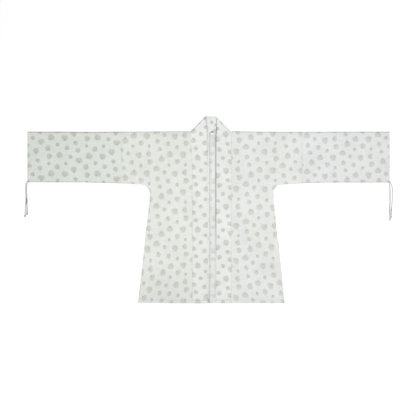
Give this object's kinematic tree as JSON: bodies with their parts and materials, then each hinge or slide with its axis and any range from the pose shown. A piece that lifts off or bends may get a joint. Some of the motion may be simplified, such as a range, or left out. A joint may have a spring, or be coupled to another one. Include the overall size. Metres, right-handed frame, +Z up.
{
  "type": "hanfu jacket",
  "caption": "Light open-front hanfu jacket laid flat front side up: straight sleeves with drawstring cuffs, flared skirt, long folded collar band, small leaf print.",
  "frame": {"origin": "on the surface the jacket lies on, under the middle of its box without the cuff ties", "axes": "+X towards the wearer's left cuff, +Y towards the collar, +Z up out of the jacket's front"},
  "size_m": [1.8333, 0.9283, 0.0051],
  "materials": {
    "printed_cloth": "thin matt plain weave, off-white with a small sage leaf print",
    "band_cloth": "the same printed cloth, doubled, so whiter and less sheer",
    "tie_cloth": "narrow rouleau of the same off-white cloth",
    "label_cloth": "blank dark woven tape"
  },
  "bodies": {
    "root": {"right_body": "printed_cloth", "left_body": "printed_cloth", "right_sleeve": "printed_cloth", "left_sleeve": "printed_cloth", "collar_band": "band_cloth", "neck_label": "label_cloth", "right_cuff_tie_front": "tie_cloth", "right_cuff_tie_back": "tie_cloth", "left_cuff_tie_front": "tie_cloth", "left_cuff_tie_back": "tie_cloth"}
  },
  "joints": []
}
